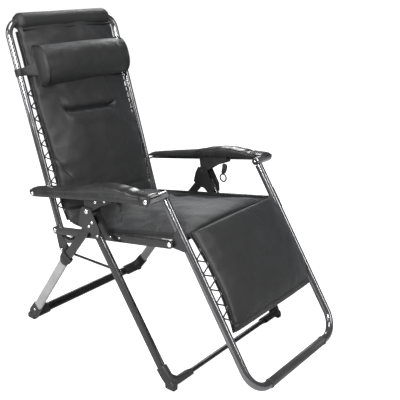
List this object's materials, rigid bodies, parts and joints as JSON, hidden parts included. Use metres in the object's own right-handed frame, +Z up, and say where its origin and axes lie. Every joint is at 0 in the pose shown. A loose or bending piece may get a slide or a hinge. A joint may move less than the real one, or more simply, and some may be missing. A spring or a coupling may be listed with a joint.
{
  "type": "zero gravity recliner",
  "caption": "Folding reclining camp chair: padded sling laced into a steel tube frame, with sliding armrests, a locking lever on each side, a headrest pillow and a raised footrest.",
  "frame": {"origin": "on the floor, under the middle of the chair's bounding box at rest", "axes": "+Z up; +X is the sitter's left; the sitter faces -Y, so the footrest points to -Y and the back leans to +Y"},
  "size_m": [0.7, 1.1559, 1.1788],
  "materials": {
    "gunmetal_tube": "gunmetal powder-coated round steel tube, glossy",
    "light_tube": "light silver-grey painted oval steel tube, satin gloss",
    "leg_paint": "dark grey painted oval steel tube, satin gloss",
    "plate_paint": "black painted steel plate, satin",
    "rivet_steel": "bright plated steel rivet heads",
    "black_plastic": "black moulded plastic, satin top",
    "foot_plastic": "dark grey moulded plastic, matt",
    "charcoal_fabric": "charcoal-black padded polyester mesh with a soft sheen",
    "cord_fabric": "black braided elastic cord"
  },
  "bodies": {
    "base": {"front_leg_right": "leg_paint", "front_leg_left": "leg_paint", "front_foot_right": "foot_plastic", "front_foot_left": "foot_plastic", "front_floor_bar": "leg_paint", "bracket_inner_right": "plate_paint", "bracket_inner_left": "plate_paint", "bracket_outer_right": "plate_paint", "bracket_outer_left": "plate_paint"},
    "rear_legs": {"rear_leg_bar_right": "leg_paint", "rear_leg_bar_left": "leg_paint", "leg_sleeve_right": "black_plastic", "leg_sleeve_left": "black_plastic", "rear_leg_tube_right": "light_tube", "rear_leg_tube_left": "light_tube", "rear_foot_right": "foot_plastic", "rear_foot_left": "foot_plastic", "rear_floor_bar": "leg_paint"},
    "brace_links": {"brace_link_right": "gunmetal_tube", "brace_link_left": "gunmetal_tube"},
    "clamps": {"clamp_pin_right": "rivet_steel", "clamp_pin_left": "rivet_steel", "arm_clamp_right": "black_plastic", "arm_clamp_left": "black_plastic"},
    "lever_right": {"lock_lever_right": "black_plastic"},
    "lever_left": {"lock_lever_left": "black_plastic"},
    "armrests": {"arm_rail_right": "plate_paint", "arm_rail_left": "plate_paint", "armrest_right": "black_plastic", "armrest_left": "black_plastic"},
    "back_pins": {"back_pivot_pin_right": "rivet_steel", "back_pivot_pin_left": "rivet_steel"},
    "back": {"back_tube_right": "gunmetal_tube", "back_tube_left": "gunmetal_tube", "tail_plate_right": "plate_paint", "tail_plate_left": "plate_paint", "back_top_bow": "gunmetal_tube", "back_lower_bow": "gunmetal_tube", "back_pad": "charcoal_fabric", "top_sleeve": "charcoal_fabric", "back_lacing_right": "cord_fabric", "back_lacing_left": "cord_fabric"},
    "headrest": {"pillow": "charcoal_fabric"},
    "seat_pins": {"seat_pivot_pin_right": "rivet_steel", "seat_pivot_pin_left": "rivet_steel"},
    "seat": {"seat_rail_right": "gunmetal_tube", "seat_rail_left": "gunmetal_tube", "seat_pad": "charcoal_fabric"},
    "knee_pins": {"knee_pin_right": "rivet_steel", "knee_pin_left": "rivet_steel"},
    "footrest": {"footrest_tube_right": "gunmetal_tube", "footrest_tube_left": "gunmetal_tube", "footrest_bow": "gunmetal_tube", "footrest_hinge_right": "gunmetal_tube", "footrest_hinge_left": "gunmetal_tube", "knee_plate_right": "plate_paint", "knee_plate_left": "plate_paint", "leg_pad": "charcoal_fabric", "leg_lacing_right": "cord_fabric", "leg_lacing_left": "cord_fabric"}
  },
  "joints": [
    {"name": "leg_fold", "type": "hinge", "parent": "base", "child": "rear_legs", "pos_m": [0, 0.1025, 0.505], "axis": [-1, 0, 0], "range_deg": [0, 60], "deforming": ["seat_pad", "back_pad", "leg_pad"]},
    {"name": "brace_swing", "type": "hinge", "parent": "base", "child": "brace_links", "pos_m": [0, -0.0165, 0.346], "axis": [-1, 0, 0], "range_deg": [0, 93]},
    {"name": "arms_fold", "type": "hinge", "parent": "base", "child": "clamps", "pos_m": [0, 0.0925, 0.552], "axis": [-1, 0, 0], "range_deg": [0, 99]},
    {"name": "arm_slide", "type": "slide", "parent": "clamps", "child": "armrests", "axis": [0, 0.9875, -0.1573], "range_m": [0, 0.1329]},
    {"name": "lever_right_turn", "type": "hinge", "parent": "clamps", "child": "lever_right", "pos_m": [0, -0.0245, 0.588], "axis": [-1, 0, 0], "range_deg": [0, 25]},
    {"name": "lever_left_turn", "type": "hinge", "parent": "clamps", "child": "lever_left", "pos_m": [0, -0.0245, 0.588], "axis": [-1, 0, 0], "range_deg": [0, 25]},
    {"name": "back_fold", "type": "hinge", "parent": "armrests", "child": "back_pins", "pos_m": [0, 0.3695, 0.56], "axis": [-1, 0, 0], "range_deg": [-90, 0]},
    {"name": "recline", "type": "hinge", "parent": "back_pins", "child": "back", "pos_m": [0, 0.3745, 0.56866], "axis": [-1, 0, 0], "range_deg": [0, 28]},
    {"name": "pillow_slide", "type": "slide", "parent": "back", "child": "headrest", "axis": [0, 0.289, 0.9573], "range_m": [-0.15, 0.04]},
    {"name": "seat_fold", "type": "hinge", "parent": "back", "child": "seat_pins", "pos_m": [0, 0.32499, 0.41257], "axis": [-1, 0, 0], "range_deg": [0, 90]},
    {"name": "seat_level", "type": "hinge", "parent": "seat_pins", "child": "seat", "pos_m": [0, 0.33499, 0.41257], "axis": [-1, 0, 0], "range_deg": [-28, 0]},
    {"name": "foot_fold", "type": "hinge", "parent": "seat", "child": "knee_pins", "pos_m": [0, -0.24001, 0.50257], "axis": [-1, 0, 0], "range_deg": [-90, 0]},
    {"name": "foot_raise", "type": "hinge", "parent": "knee_pins", "child": "footrest", "pos_m": [0, -0.23501, 0.49391], "axis": [-1, 0, 0], "range_deg": [0, 28]}
  ],
  "couplings": [
    {"joint": "brace_swing", "follows": "leg_fold", "ratio": 1.55},
    {"joint": "arms_fold", "follows": "leg_fold", "ratio": 1.65},
    {"joint": "back_fold", "follows": "leg_fold", "ratio": -1.5},
    {"joint": "seat_fold", "follows": "leg_fold", "ratio": 1.5},
    {"joint": "foot_fold", "follows": "leg_fold", "ratio": -1.5},
    {"joint": "recline", "follows": "arm_slide", "rad_per_m": 3.6765},
    {"joint": "seat_level", "follows": "arm_slide", "rad_per_m": -3.6765},
    {"joint": "foot_raise", "follows": "arm_slide", "rad_per_m": 3.6765}
  ]
}
